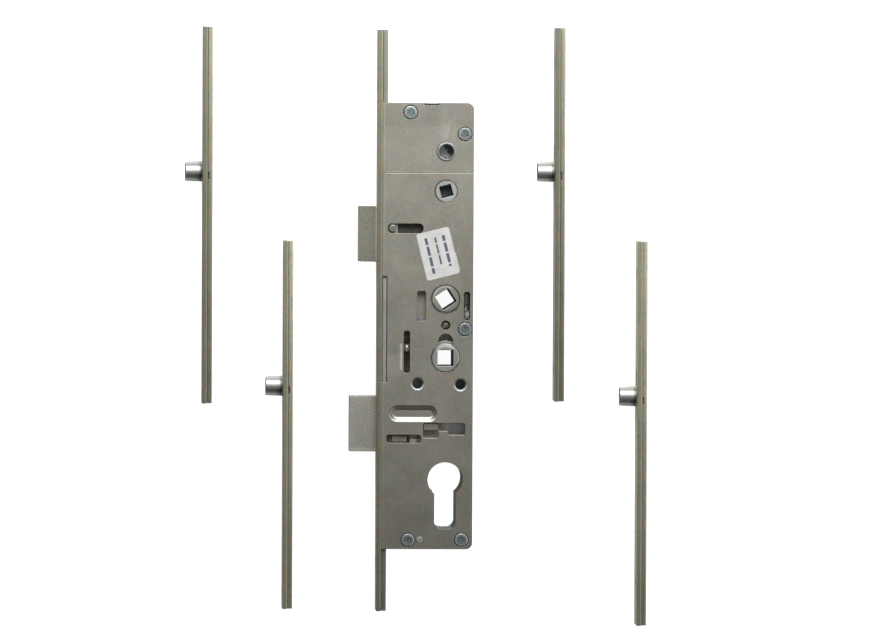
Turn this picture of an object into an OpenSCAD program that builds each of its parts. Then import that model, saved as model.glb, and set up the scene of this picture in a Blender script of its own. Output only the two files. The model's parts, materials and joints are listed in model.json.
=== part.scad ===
// Multipoint door lock: a lock case on its faceplate, and four roller stretches of the same strip.
// It lies flat: X points to the back of the case, Y up the door and Z out of the case cover.
// Local sizes count from the faceplate's front (x), the cylinder's centre (y) and the strip's edge (z).

/* [Faceplate and rail] */
// Width of the faceplate
plate_w = 20; // [18:0.5:24]
// Thickness of the faceplate
plate_t = 2.5; // [2:0.1:3]
// Length of the faceplate above the case
plate_over = 37.2; // [33:0.2:70]
// Length of the faceplate below the case
plate_under = 31.6; // [28:0.2:56]
// Thickness of the drive rail
rail_t = 2.4; // [2.2:0.1:2.8]
// Space between the faceplate and the rail
rail_gap = 0.3; // [0.2:0.05:0.4]
// Travel of the rail from locked to unlocked, in degrees of the upper hub
upper_hub_turn = 33; // [25:1:34]
// Diameter of the guide studs' shanks
guide_d = 5; // [4:0.5:5.5]
// Diameter of the guide heads
guide_head_d = 8.4; // [7.5:0.1:8.6]
// Diameter of the fixing screws' holes
fixing_d = 4.5; // [4:0.1:5]
// Diameter of the fixing holes' countersinks
fixing_sink_d = 7.5; // [7:0.1:8]

/* [Case] */
// Depth of the case behind the spindles and the cylinder
case_back = 14; // [12.6:0.1:20]
// Height of the case's top above the seam
case_over = 35.5; // [31.5:0.1:46]
// Case height below the cylinder's centre
case_below = 35.4; // [35:0.2:38]
// Outside thickness of the case
case_t = 16; // [15.8:0.1:16.6]
// Thickness of the case's sheet
sheet_t = 1.5; // [1.3:0.1:1.6]
// Radius of the case's back corners
corner_r = 3.2; // [2:0.1:5]
// Height of the seam between the two cover plates above the snib spindle
seam_over = 9.4; // [8.4:0.1:11.6]
// Length of the step under the upper cover plate
seam_lap = 3.2; // [2:0.1:4]

/* [Spindles and cylinder] */
// Backset: distance of the spindles and the cylinder from the faceplate's front
backset = 35; // [34.5:0.1:35.5]
// Height of the upper lever spindle above the cylinder
upper_spindle_y = 92; // [91.5:0.1:92.5]
// Height of the lower lever spindle above the cylinder
lower_spindle_y = 62; // [61.5:0.1:62.5]
// Side of both lever spindles' squares
spindle_square = 8; // [7:0.1:8.4]
// Diameter of the upper hub's journal
upper_hub_d = 14.4; // [14:0.1:15]
// Diameter of the lower hub's journal
lower_hub_d = 14.3; // [14:0.1:14.6]
// Height of the snib spindle above the cylinder
snib_y = 146.9; // [146.5:0.1:147.5]
// Side of the snib spindle's square
snib_square = 6; // [5:0.1:6.4]
// Diameter of the snib hub's journal
snib_hub_d = 11.2; // [10.5:0.1:11.6]
// Height of the fixing bush above the seam
bush_over = 10.7; // [9:0.1:17]
// Bore of the fixing bush
bush_bore_d = 7.6; // [6:0.1:8]
// Outside diameter of the fixing bush
bush_d = 9.4; // [9:0.1:10]
// Diameter of the cylinder opening's round part
cylinder_d = 17.8; // [17.4:0.1:18]
// Width of the cylinder opening's leg
cylinder_leg_w = 10.8; // [10.4:0.1:11]
// Depth of the cylinder opening's leg below the cylinder's centre
cylinder_leg_y = 25; // [24:0.5:26]

/* [Latch and deadbolt] */
// Thickness of the latch head and the deadbolt
bolt_t = 9.4; // [8.6:0.1:9.6]
// Height of the latch head
latch_h = 28.4; // [27:0.1:28.6]
// Height of the latch head's middle
latch_y = 125; // [124.8:0.1:125.4]
// How far the latch head stands out of the faceplate
latch_out = 9.7; // [8:0.1:11]
// Length of the latch head inside the lock
latch_in = 10.5; // [10.2:0.1:10.8]
// Height of the latch stud and of the slot that it runs in
stud_y = 127.9; // [127.5:0.1:128.3]
// Diameter of the latch stud
stud_d = 4.1; // [3.8:0.1:4.3]
// Travel of the latch
latch_travel = 9.5; // [8:0.1:9.6]
// Height of the deadbolt
deadbolt_h = 28.4; // [27:0.1:29]
// Height of the deadbolt's middle
deadbolt_y = 28.4; // [28:0.1:28.8]
// How far the deadbolt stands out of the faceplate
deadbolt_out = 14; // [12:0.1:16]
// Length of the deadbolt inside the lock
deadbolt_in = 7.9; // [7.6:0.1:8.5]
// Travel of the deadbolt
deadbolt_travel = 13.5; // [12:0.1:13.5]

/* [Rollers] */
// Largest diameter of a roller, at the faceplate
roller_d = 10.8; // [9.5:0.1:12]
// Diameter of a roller at its tip
roller_tip_d = 9.8; // [9.2:0.1:10.6]
// How far the roller's tip stands out of the strip
roller_out = 8.8; // [8:0.1:12]
// Diameter of the roller's pin
roller_pin_d = 5; // [4:0.1:5.2]

/* [Small parts] */
// Diameter of the cover screws' heads
screw_head_d = 6.7; // [6:0.1:7]
// Diameter of the cover screws' shanks
screw_d = 2.6; // [2.4:0.1:3]
// Diameter of the case pillars
pillar_d = 5; // [4.6:0.1:5]
// Thickness of the two levers in the case
lever_t = 2.5; // [2:0.1:2.6]
// Thickness of the slide, the sector and the two tails
link_t = 4.8; // [4:0.1:5]
// Width of the levers' arms
arm_w = 5; // [4:0.1:5]
// Diameter of the springs' wire
wire_d = 0.8; // [0.6:0.05:0.9]
// Width of the label
label_w = 17.1; // [12:0.1:18]
// Height of the label
label_h = 24.4; // [18:0.1:26]
// Turn of the label on the case
label_turn = 14; // [0:1:20]

/* [Hidden] */
$fn = 64;

// Clearances: press fits, running fits, sliding gaps and rivet-like flush faces
press_gap = 0.02;
run_gap = 0.1;
slide_gap = 0.3;

// Colours
zinc_grey = "#8f8d80";
zinc_dark = "#77756a";
bright_zinc = "#a7abb0";
sintered = "#8b8880";
brass_brown = "#7d6a4c";

// Layers through the thickness of the lock
mid_z = plate_w / 2;
case_low = mid_z - case_t / 2;
case_high = mid_z + case_t / 2;
inner_low = case_low + sheet_t;
inner_high = case_high - sheet_t;
lever_low = inner_low + slide_gap;
lever_high = lever_low + lever_t;
link_low = lever_high + 0.9;
link_high = link_low + link_t;
bolt_low = mid_z - bolt_t / 2;
bolt_high = mid_z + bolt_t / 2;

// Rail
rail_front = plate_t + rail_gap;
rail_back = rail_front + rail_t;
rail_low = lever_low;
rail_high = inner_high - slide_gap;
window_low = bolt_low - slide_gap;
window_high = bolt_high + slide_gap;
guide_head_t = rail_t / 2;
guide_slot_w = guide_d + slide_gap;
guide_step_w = guide_head_d + 2 * slide_gap;
window_bottom = -15.5;

// Heights from the cylinder's centre: seam, bush, case and the faceplate's ends
seam_y = snib_y + seam_over;
bush_y = seam_y + bush_over;
case_above = seam_y + case_over;
plate_above = case_above + plate_over;
plate_below = case_below + plate_under;

// Rack and sector
tooth_module = 2;
sector_teeth = 20;
pitch_r = tooth_module * sector_teeth / 2;
base_r = pitch_r * cos(20);
tip_r = pitch_r + tooth_module;
root_r = pitch_r - 1.25 * tooth_module;
tooth_pitch = PI * tooth_module;
backlash = 0.12;
rail_travel = pitch_r * upper_hub_turn * PI / 180;
rack_x = backset - pitch_r;
rack_root_x = rack_x - 1.25 * tooth_module;
sector_angles = [171, 189, 207, 225];
sector_from = 162;
sector_to = 234;
slide_below = 30;
slide_above = 6.5;
slide_bottom = upper_spindle_y - slide_below;
slide_top = upper_spindle_y + slide_above;
slide_lobe_w = 5;
slide_lobe_up = 4.5;
slide_lobe_reach = 4.5;
slide_stud_d = 2.6;

// Case outline and what lies at its front
case_depth = backset + case_back;
case_front = plate_t + 0.1;
case_top = case_above;
case_bottom = -case_below;
wall_x = case_depth - sheet_t;
rim_front = rail_back + 0.4;
tab_front = rail_back + slide_gap;
tab_back = tab_front + sheet_t;
tab_w = 12;
case_rivet_d = 4;
case_rivet_head_d = 6.4;
case_rivet_head_t = 1.2;
case_rivet_y = [case_bottom + 15.4, case_top - 16.8];
cover_screw_xy = [
    [16.7, case_top - 4.8], [case_depth - 4.6, case_top - 15.8],
    [case_depth - 4.1, lower_spindle_y + 14.7],
    [16.2, case_bottom + 4.6], [case_depth - 5.6, case_bottom + 4.7]
];
rivet_xy = [22.2, case_bottom + 4.65];
rivet_d = 3.75;
screw_sink = 0.9;
screw_head_t = 1.2;
screw_ring = 0.3;
snib_turn = 15;
rim_key_x = [24, 31];
rim_key_t = 0.9;

// Guides and fixing holes of the centre stretch and of a roller stretch
centre_guide_y = [16.5 - plate_below, plate_above - 7];
centre_fixing_y = [25.5 - plate_below, plate_above - 29.5];
strip_guide_y = [-60, 38];
strip_fixing_y = [-95, 62];
fixing_sink_depth = (fixing_sink_d - fixing_d) / 2;

// Lever pivots and their ends, at rest
lever_pivot = [backset - 15, upper_spindle_y - 8];
lever_knee = [backset - 13, lower_spindle_y + 4];
lever_foot = [backset - 6, lower_spindle_y - 15];
lever_head = [backset - 19.5, latch_y - 4.5];
lever_head_reach = 3;
notch_block_length = 14;
lever_peg_d = 4;
lever_pin_d = 5;
lever_pin_head_d = 8;
finger_r = 15;
finger_w = 6;
lower_collar_d = 17.6;
upper_collar_d = 18;
snib_finger_r = 14.5;
snib_finger_w = 5;
snib_pivot_d = 6;
locking_pivot = [12, -12];
locking_tip = [22, 10];
locking_pin_d = 4;
notch_gap = 0.6;

// Latch tail, its rod and its spring
tail_w = 7;
tail_end = backset - 5;
tail_rod_d = 4;
tail_rod_end = wall_x - latch_travel - 1;
spring_r = 3.2;
spring_turns = 9;
lock_spring_r = 3;
lock_spring_turns = 3.5;

// Bolt tail
tail_bottom = 16;
bolt_tail_top = 30;
bolt_tail_end = wall_x - slide_gap - run_gap - deadbolt_travel;
block_x = [24, 31.3];
block_y = [25.2, 28.7];
pad_x = [deadbolt_in, 15.5];
pad_y = [19.2, 22.5];
step_x = [16.9, 22.6];
step_y = [18.2, 20.8];
talon_x = [24.6, 31.2];
talon_depth = 4;

// Windows and slots of the cover
cylinder_leg_r = 3.6;
rail_window_y = [49.7, 103.6];
stud_slot_x = [5.2, 23.4];
stud_slot_w = 4.9;
stud_slot_r = 2.2;
stud_x = 7.8;
leaf_slot_x = [case_depth - 4.7, case_depth - 1.7];
leaf_slot_y = [upper_spindle_y - 10.7, upper_spindle_y + 3.7];
leaf_side = 0.3;
sector_slot_x = [20.5, 24.8];
sector_slot_y = [upper_spindle_y - 11.1, upper_spindle_y + 4];
slide_slot_x = [13.7, 16.8];
slide_slot_y = [54.4, 75.8];
pad_slot_x = [5.1, 22.6];
pad_slot_y = [18.8, 22.9];
block_slot_top = 29.0;
block_slot_foot = 21.3;
block_slot_mid = 22.9;
block_slot_bump = 24.9;
block_slot_bump_x = 36.6;
dimple_xy = [[20.8, 49.0], [42.6, 48.5]];
dimple_d = 4.9;
dimple_rim_d = 6.4;
dimple_depth = 0.75;
stop_pin_y = upper_spindle_y - 13.3;
stop_pin_d = 4.2;
stop_hole_d = 4.6;
hub_notch_w = 7.4;
hub_notch_up = 8.6;
cam_window_h = 16;
cam_window_w = 10;
bead_xy = [18.6, 33.65];
bead_length = 24.7;
bead_w = 8.4;
bead_slope = 2.4;
bead_depth = 1.1;
bead_foot_in = 1.5;
lap_side = 5.4;

// Roller stretches: front face x, roller height y, length above and below the roller, and how far
// the fixing holes lie above their usual place
strips = [
    [-89.0, 156.5, 73.7, 118.0, 0],
    [-47.7, 47.4, 74.0, 113.4, 0],
    [90.4, 156.9, 73.3, 116.9, -6],
    [132.8, 42.6, 79.0, 116.8, 0]
];
collar_t = 0.55;
collar_d = 8.4;
pin_head_t = 0.9;
pin_head_d = 7.4;

// The origin is the middle of the whole layout
layout_left = min([for (s = strips) s[0]]) - roller_out;
layout_right = max([for (s = strips) s[0]]) + rail_back;
layout_top = max(plate_above, max([for (s = strips) s[1] + s[2]]));
layout_bottom = min(-plate_below, min([for (s = strips) s[1] - s[3]]));
middle_x = (layout_left + layout_right) / 2;
middle_y = (layout_bottom + layout_top) / 2;

function involute(a) = tan(a) * 180 / PI - a;
function tooth_half(r) = 90 / sector_teeth - backlash / pitch_r * 180 / PI
    + involute(20) - involute(acos(base_r / max(r, base_r)));
function polar(r, a) = [r * cos(a), r * sin(a)];

// A sector tooth's outline: up one flank and down the other
function tooth_points(a) = let (
        radii = [root_r - 0.4, base_r, 19.4, 20.0, 20.7, 21.4, tip_r]
    ) concat(
        [for (r = radii) polar(r, a + tooth_half(r))],
        [for (i = [len(radii) - 1 : -1 : 0]) polar(radii[i], a - tooth_half(radii[i]))]
    );

// A wire wound round the Z axis: rings of sides points swept up the helix, as one closed mesh
module coil(r, wire, turns, height, rings_a_turn = 20, sides = 6) {
    steps = ceil(turns * rings_a_turn);
    rise = (height - wire) / steps;
    tilt = atan(rise * rings_a_turn / (2 * PI * r));
    points = [for (i = [0 : steps]) let (a = 360 * i / rings_a_turn)
        for (j = [0 : sides - 1]) let (
                b = 360 * j / sides,
                out = r + wire / 2 * cos(b),
                side = wire / 2 * sin(b)
            )
            [out * cos(a) + side * sin(tilt) * sin(a),
             out * sin(a) - side * sin(tilt) * cos(a),
             wire / 2 + rise * i + side * cos(tilt)]];
    walls = [for (i = [0 : steps - 1]) for (j = [0 : sides - 1]) let (k = (j + 1) % sides)
        each [[i * sides + j, (i + 1) * sides + j, (i + 1) * sides + k],
              [i * sides + j, (i + 1) * sides + k, i * sides + k]]];
    ends = [[for (j = [0 : sides - 1]) j],
            [for (j = [sides - 1 : -1 : 0]) steps * sides + j]];
    polyhedron(points, concat(walls, ends));
}

module lock_place() {
    translate([-middle_x, -middle_y, 0]) children();
}

module strip_place(n) {
    lock_place() translate([strips[n - 1][0], strips[n - 1][1], 0]) children();
}

module slab(low, high) {
    translate([0, 0, low]) linear_extrude(high - low) children();
}

// A shape drawn in y and z, given a thickness from x0 to x1
module across(x0, x1) {
    translate([x0, 0, 0]) rotate([90, 0, 90]) linear_extrude(x1 - x0) children();
}

module rod_x(x0, x1, y, z, d0, d1 = 0) {
    translate([x0, y, z]) rotate([0, 90, 0])
        cylinder(h = x1 - x0, d1 = d0, d2 = d1 == 0 ? d0 : d1);
}

module rod_z(z0, z1, p, d0, d1 = 0) {
    translate([p[0], p[1], z0]) cylinder(h = z1 - z0, d1 = d0, d2 = d1 == 0 ? d0 : d1);
}

// A rectangle from (x0, y0) to (x1, y1) with round corners
module round_rect(x0, x1, y0, y1, r) {
    translate([x0 + r, y0]) square([x1 - x0 - 2 * r, y1 - y0]);
    translate([x0, y0 + r]) square([x1 - x0, y1 - y0 - 2 * r]);
    for (x = [x0 + r, x1 - r], y = [y0 + r, y1 - r]) translate([x, y]) circle(r, $fn = 32);
}

// A straight arm of width w with round ends at two points
module arm(p, q, w) {
    span = norm(q - p);
    translate(p) rotate(atan2(q[1] - p[1], q[0] - p[0])) {
        translate([0, -w / 2]) square([span, w]);
        circle(d = w);
        translate([span, 0]) circle(d = w);
    }
}

// Slot in the rail for a stud at height y: it lets the rail rise by its travel
module rail_slot(y, w, x0, x1) {
    across(x0, x1) {
        translate([y - rail_travel, mid_z - w / 2]) square([rail_travel, w]);
        translate([y - rail_travel, mid_z]) circle(d = w);
        translate([y, mid_z]) circle(d = w);
    }
}

module fixing_hole(y) {
    rod_x(-1, plate_t + 1, y, mid_z, fixing_d);
    rod_x(-0.01, fixing_sink_depth, y, mid_z, fixing_sink_d + 0.02, fixing_d);
}

module guide(y) {
    rod_x(plate_t - 2.2, rail_back - guide_head_t, y, mid_z, guide_d);
    rod_x(rail_back - guide_head_t, rail_back, y, mid_z, guide_head_d);
}

module guide_hole(y) {
    rod_x(plate_t - 2.2 - press_gap, plate_t + 1, y, mid_z, guide_d + 2 * press_gap);
}

module guide_slot(y) {
    rail_slot(y, guide_slot_w, rail_front - 1, rail_back + 1);
    rail_slot(y, guide_step_w, rail_back - guide_head_t - run_gap, rail_back + 1);
}

module rail_bar(y0, y1) {
    translate([rail_front, y0, rail_low]) cube([rail_t, y1 - y0, rail_high - rail_low]);
}

// Case outline, drawn in by inset at its back, top and bottom edges
module case_outline(inset = 0) {
    r = corner_r - inset;
    x1 = case_depth - inset;
    y0 = case_bottom + inset;
    y1 = case_top - inset;
    translate([case_front, y0]) square([x1 - r - case_front, y1 - y0]);
    translate([case_front, y0 + r]) square([x1 - case_front, y1 - y0 - 2 * r]);
    for (y = [y0 + r, y1 - r]) translate([x1 - r, y]) circle(r);
}

module cylinder_opening() {
    translate([backset, 0]) circle(d = cylinder_d);
    round_rect(backset - cylinder_leg_w / 2, backset + cylinder_leg_w / 2, -cylinder_leg_y, 0,
        cylinder_leg_r);
}

module at_backset(y) {
    translate([backset, y]) children();
}

module faceplate() {
    color(zinc_grey) lock_place() difference() {
        translate([0, -plate_below, 0]) cube([plate_t, plate_above + plate_below, plate_w]);
        across(-1, plate_t + 1) {
            round_rect(latch_y - latch_h / 2 - slide_gap, latch_y + latch_h / 2 + slide_gap,
                window_low, window_high, 0.8);
            round_rect(deadbolt_y - deadbolt_h / 2 - slide_gap,
                deadbolt_y + deadbolt_h / 2 + slide_gap, window_low, window_high, 0.8);
        }
        fixing_hole(0);
        for (y = centre_fixing_y) fixing_hole(y);
        for (y = centre_guide_y) guide_hole(y);
        for (y = case_rivet_y) guide_hole(y);
    }
}

module tray_tab(y) {
    translate([tab_front, y - tab_w / 2, inner_low])
        cube([tab_back - tab_front, tab_w, inner_high - inner_low - slide_gap]);
}

module case_tray() {
    color(zinc_dark) lock_place() difference() {
        union() {
            slab(case_low, inner_low) case_outline();
            slab(inner_low, inner_high) intersection() {
                difference() {
                    case_outline();
                    case_outline(sheet_t);
                }
                translate([rim_front, case_bottom - 1])
                    square([case_depth, case_top - case_bottom + 2]);
            }
            slab(inner_high, case_high - 0.1)
                translate([rim_key_x[0] + slide_gap, case_top - rim_key_t])
                square([rim_key_x[1] - rim_key_x[0] - 2 * slide_gap, rim_key_t]);
            for (y = case_rivet_y) tray_tab(y);
        }
        slab(case_low - 1, inner_low + 0.01) {
            cylinder_opening();
            at_backset(upper_spindle_y) circle(d = upper_hub_d + 2 * run_gap);
            at_backset(lower_spindle_y) circle(d = lower_hub_d + 2 * run_gap);
            at_backset(snib_y) circle(d = snib_pivot_d + 2 * run_gap);
            at_backset(bush_y) circle(d = bush_d + 2 * press_gap);
            translate(lever_pivot) circle(d = lever_pin_d + 2 * press_gap);
            round_rect(case_front - 1, rail_back - 0.1, rail_window_y[0], rail_window_y[1], 0.8);
        }
        for (y = case_rivet_y)
            rod_x(tab_front - 1, tab_back + 1, y, mid_z, case_rivet_d + 2 * press_gap);
        // Room for the cylinder's cam in the back wall
        slab(mid_z - cam_window_w / 2, mid_z + cam_window_w / 2)
            translate([wall_x - 1, -cam_window_h / 2]) square([sheet_t + 2, cam_window_h]);
    }
}

// Hole and counterbore of a cover screw
module screw_holes() {
    for (p = cover_screw_xy) {
        rod_z(inner_high - 1, case_high + 1, p, screw_d + 0.6);
        rod_z(case_high - screw_sink, case_high + 1, p, screw_head_d + 2 * screw_ring);
    }
}

module cover_upper() {
    color(zinc_grey) lock_place() difference() {
        slab(inner_high, case_high) intersection() {
            case_outline();
            translate([0, seam_y + 0.08]) square([case_depth, case_top]);
        }
        slab(inner_high - 1, case_high + 1) {
            at_backset(bush_y) circle(d = bush_d + 2 * press_gap);
            translate([rim_key_x[0], case_top - rim_key_t - slide_gap])
                square([rim_key_x[1] - rim_key_x[0], 3]);
        }
        screw_holes();
    }
}

// A pressed stadium whose wall slopes from length, w at the top to in from each edge at the foot
module sloped_stadium(x, y, length, w, inset, z0, z1) {
    reach = (length - w) / 2;
    for (s = [-1, 1]) rod_z(z0, z1, [x + s * reach, y], w - 2 * inset, w);
    translate([x - reach, y, 0]) rotate([90, 0, 90]) linear_extrude(2 * reach)
        polygon([[-w / 2 + inset, z0], [w / 2 - inset, z0], [w / 2, z1], [-w / 2, z1]]);
}

module cover_cutouts() {
    cylinder_opening();
    at_backset(upper_spindle_y) circle(d = upper_hub_d + 2 * run_gap);
    at_backset(lower_spindle_y) circle(d = lower_hub_d + 2 * run_gap);
    at_backset(snib_y) circle(d = snib_hub_d + 2 * run_gap);
    // Window on the rail's edge
    round_rect(case_front - 1, rail_back - 0.1, rail_window_y[0], rail_window_y[1], 0.4);
    // Slot of the latch stud
    round_rect(stud_slot_x[0], stud_slot_x[1], stud_y - stud_slot_w / 2, stud_y + stud_slot_w / 2,
        stud_slot_r);
    // Slot over the toothed sector
    round_rect(sector_slot_x[0], sector_slot_x[1], sector_slot_y[0], sector_slot_y[1], 1.1);
    // Slot of the leaf spring
    round_rect(leaf_slot_x[0], leaf_slot_x[1], leaf_slot_y[0], leaf_slot_y[1], 1.3);
    // Hole of the stop pin
    at_backset(stop_pin_y) circle(d = stop_hole_d);
    // Notch above the lower hub
    at_backset(lower_spindle_y) translate([-hub_notch_w / 2, 0]) square([hub_notch_w, hub_notch_up]);
    at_backset(lower_spindle_y + hub_notch_up) circle(d = hub_notch_w);
    // Slot over the slide's stud
    round_rect(slide_slot_x[0], slide_slot_x[1], slide_slot_y[0], slide_slot_y[1], 1.1);
    // Slot of the bolt's pad
    round_rect(pad_slot_x[0], pad_slot_x[1], pad_slot_y[0], pad_slot_y[1], 1.2);
    // Stepped slot of the bolt's block, as long as the block's way
    round_rect(block_x[0] - slide_gap, block_x[1] + slide_gap, block_slot_foot, block_slot_top, 1.2);
    round_rect(block_x[0] + 2, block_x[1] + deadbolt_travel + slide_gap, block_slot_bump,
        block_slot_top, 1.2);
    round_rect(block_slot_bump_x, block_x[1] + deadbolt_travel + slide_gap, block_slot_mid,
        block_slot_top, 1.2);
}

module cover_lower() {
    color(zinc_grey) lock_place() difference() {
        union() {
            slab(inner_high, case_high) difference() {
                intersection() {
                    case_outline();
                    translate([0, case_bottom - 1]) square([case_depth, seam_y - 0.08 - case_bottom + 1]);
                }
                cover_cutouts();
            }
            // Step under the upper cover plate
            slab(inner_high - sheet_t, inner_high) difference() {
                translate([case_front + lap_side, seam_y - seam_lap])
                    square([wall_x - case_front - 2 * lap_side + 1.9, 2 * seam_lap]);
                at_backset(snib_y) circle(d = snib_hub_d + 2 * run_gap);
            }
            sloped_stadium(bead_xy[0], bead_xy[1], bead_length - 2, bead_w - 2, bead_foot_in,
                inner_high - bead_depth, inner_high);
        }
        sloped_stadium(bead_xy[0], bead_xy[1], bead_length, bead_w, bead_slope,
            case_high - bead_depth, case_high + 0.001);
        for (p = dimple_xy) {
            rod_z(inner_high - 1, case_high + 1, p, dimple_d);
            rod_z(case_high - dimple_depth, case_high + 0.001, p, dimple_d, dimple_rim_d);
        }
        rod_z(inner_high - 1, case_high + 1, rivet_xy, rivet_d + 2 * press_gap);
        screw_holes();
    }
}

module cover_screws() {
    head_low = case_high - screw_sink;
    color(bright_zinc) lock_place() for (p = cover_screw_xy) difference() {
        union() {
            rod_z(inner_low + 3, head_low, p, screw_d);
            rod_z(head_low, head_low + screw_head_t - 0.25, p, screw_head_d);
            rod_z(head_low + screw_head_t - 0.25, head_low + screw_head_t, p,
                screw_head_d, screw_head_d - 0.6);
        }
        // Six-lobe recess
        rod_z(head_low + 0.3, head_low + 2, p, 2.5);
        for (a = [0 : 60 : 300])
            rod_z(head_low + 0.3, head_low + 2, p + polar(1.25, a + 30), 1.15);
    }
}

module case_pillars() {
    color(bright_zinc) lock_place() for (p = cover_screw_xy) difference() {
        rod_z(inner_low, inner_high, p, pillar_d);
        rod_z(inner_low + 2.5, inner_high + 1, p, screw_d + 2 * press_gap);
    }
}

module locating_rivet() {
    color(zinc_grey) lock_place() {
        rod_z(inner_low, case_high, rivet_xy, rivet_d);
        rod_z(case_high, case_high + 0.3, rivet_xy, rivet_d, rivet_d - 1);
    }
}

module fixing_bush() {
    rim_t = 0.35;
    color(bright_zinc) lock_place() translate([backset, bush_y, 0]) difference() {
        union() {
            rod_z(case_low, case_high, [0, 0], bush_d);
            rod_z(case_high, case_high + rim_t, [0, 0], bush_d + 0.5, bush_d - 0.3);
        }
        rod_z(case_low + 2, case_high + 2, [0, 0], bush_bore_d);
    }
}

module case_rivets() {
    color(bright_zinc) lock_place() for (y = case_rivet_y) {
        rod_x(plate_t - 2.2, tab_front, y, mid_z, guide_d);
        rod_x(tab_front, tab_back, y, mid_z, case_rivet_d);
        rod_x(tab_back, tab_back + case_rivet_head_t, y, mid_z, case_rivet_head_d);
    }
}

module rail_guides() {
    color(bright_zinc) lock_place() for (y = centre_guide_y) guide(y);
}

label_xy = [30.9, 115.1];
label_t = 0.12;

module label() {
    color("white") lock_place() translate([label_xy[0], label_xy[1], 0]) rotate(label_turn)
        slab(case_high, case_high + label_t) {
            round_rect(-label_w / 2, label_w / 2, -label_h / 2, label_h / 2, 1.2);
            // Small step where the lower part of the label is wider
            translate([0, -label_h / 2 + 1.2]) square([label_w / 2 + 0.35, label_h * 0.38]);
        }
}

module stop_pin() {
    dome_t = 1.0;
    dome_low = case_high - 1.8;
    shoulder_d = stop_pin_d * 0.72;
    color(zinc_dark) lock_place() translate([backset, stop_pin_y, 0]) {
        rod_z(inner_low, dome_low, [0, 0], stop_pin_d);
        rod_z(dome_low, dome_low + dome_t * 0.6, [0, 0], stop_pin_d, shoulder_d);
        rod_z(dome_low + dome_t * 0.6, dome_low + dome_t, [0, 0], shoulder_d, stop_pin_d * 0.3);
    }
}

// Spring strip that lies under the lower end of its slot, rises through it and bends into the case
module hub_leaf_spring() {
    leaf_t = 0.7;
    bend_r = 6;
    foot_y = leaf_slot_y[0] + 0.5;
    foot_length = 2.4;
    centre = [foot_y + 0.4, case_high - 0.1 - bend_r];
    leg = 5;
    outer = [for (a = [90 : -7.5 : 15]) centre + polar(bend_r, a)];
    inner = [for (a = [15 : 7.5 : 82.5]) centre + polar(bend_r - leaf_t, a)];
    down = leg * [sin(15), -cos(15)];
    inner_side = max(leaf_slot_x[0] + leaf_side, backset + upper_collar_d / 2 + 2 * run_gap);
    color(bright_zinc) lock_place() across(inner_side, leaf_slot_x[1] - leaf_side)
        polygon(concat(
            [[foot_y - foot_length, inner_high - leaf_t], [foot_y - foot_length, inner_high],
             [foot_y, inner_high], [foot_y, centre[1] + bend_r]], outer,
            [centre + polar(bend_r, 15) + down, centre + polar(bend_r - leaf_t, 15) + down],
            inner, [[foot_y + leaf_t, centre[1] + bend_r - leaf_t - 0.1],
                    [foot_y + leaf_t, inner_high - leaf_t]]
        ));
}

module lever_pivot_pin() {
    color(bright_zinc) lock_place() {
        rod_z(case_low, lever_high + 0.1, lever_pivot, lever_pin_d);
        rod_z(lever_high + 0.1, lever_high + 0.6, lever_pivot, lever_pin_head_d);
    }
}

module locking_lever_pin() {
    color(bright_zinc) lock_place() rod_z(inner_low, inner_high, locking_pivot, locking_pin_d);
}

module locking_spring() {
    color(bright_zinc) lock_place() translate([locking_pivot[0], locking_pivot[1], lever_high + 0.35])
        coil(lock_spring_r, wire_d, lock_spring_turns, 3.6);
}

module drive_rail() {
    y0 = -plate_below;
    color(zinc_grey) lock_place() difference() {
        rail_bar(y0, plate_above);
        // Window that the deadbolt and the cylinder's screw pass
        across(rail_front - 1, rail_back + 1) {
            round_rect(window_bottom, deadbolt_y + deadbolt_h / 2 + 0.5, window_low, window_high, 1);
            round_rect(latch_y - latch_h / 2 - rail_travel - 0.5, latch_y + latch_h / 2 + 0.5,
                window_low, window_high, 1);
        }
        for (y = case_rivet_y) rail_slot(y, guide_slot_w, rail_front - 1, rail_back + 1);
        for (y = centre_fixing_y) rail_slot(y, guide_slot_w, rail_front - 1, rail_back + 1);
        for (y = centre_guide_y) guide_slot(y);
    }
}

// Rack tooth on the slide, drawn from its root to its tip
module rack_tooth(y) {
    half = tooth_pitch / 4 - backlash;
    root = half + 1.25 * tooth_module * tan(20);
    tip = half - tooth_module * tan(20);
    polygon([[rack_root_x - 0.5, y - root], [rack_root_x, y - root], [rack_x + tooth_module, y - tip],
        [rack_x + tooth_module, y + tip], [rack_root_x, y + root], [rack_root_x - 0.5, y + root]]);
}

module drive_slide() {
    lobe_y = slide_bottom + slide_lobe_up;
    color(brass_brown) lock_place() {
        slab(link_low, link_high) {
            translate([rail_back, slide_bottom])
                square([rack_root_x - rail_back, slide_top - slide_bottom]);
            for (k = [0 : 3]) rack_tooth(upper_spindle_y - k * tooth_pitch);
            translate([rack_root_x - 1, lobe_y - slide_lobe_w / 2])
                square([slide_lobe_reach + 1, slide_lobe_w]);
        }
        rod_z(link_high, rail_high - 0.2, [rack_root_x + slide_lobe_reach - 1.75, lobe_y],
            slide_stud_d);
    }
}

module sector_2d() {
    difference() {
        union() {
            intersection() {
                circle(root_r);
                polygon(concat([[0, 0]], [for (a = [sector_from : 6 : sector_to]) polar(30, a)]));
            }
            for (a = sector_angles) polygon(tooth_points(a));
        }
        circle(d = upper_collar_d - 2);
    }
}

module lever_hub_upper() {
    color(bright_zinc) lock_place() translate([backset, upper_spindle_y, 0]) difference() {
        union() {
            rod_z(case_low + 0.3, case_high - 0.3, [0, 0], upper_hub_d);
            rod_z(inner_low + 0.5, inner_high - 0.5, [0, 0], upper_collar_d);
            slab(link_low, link_high) sector_2d();
        }
        rotate(upper_hub_turn) slab(0, plate_w) square(spindle_square, center = true);
    }
}

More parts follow.
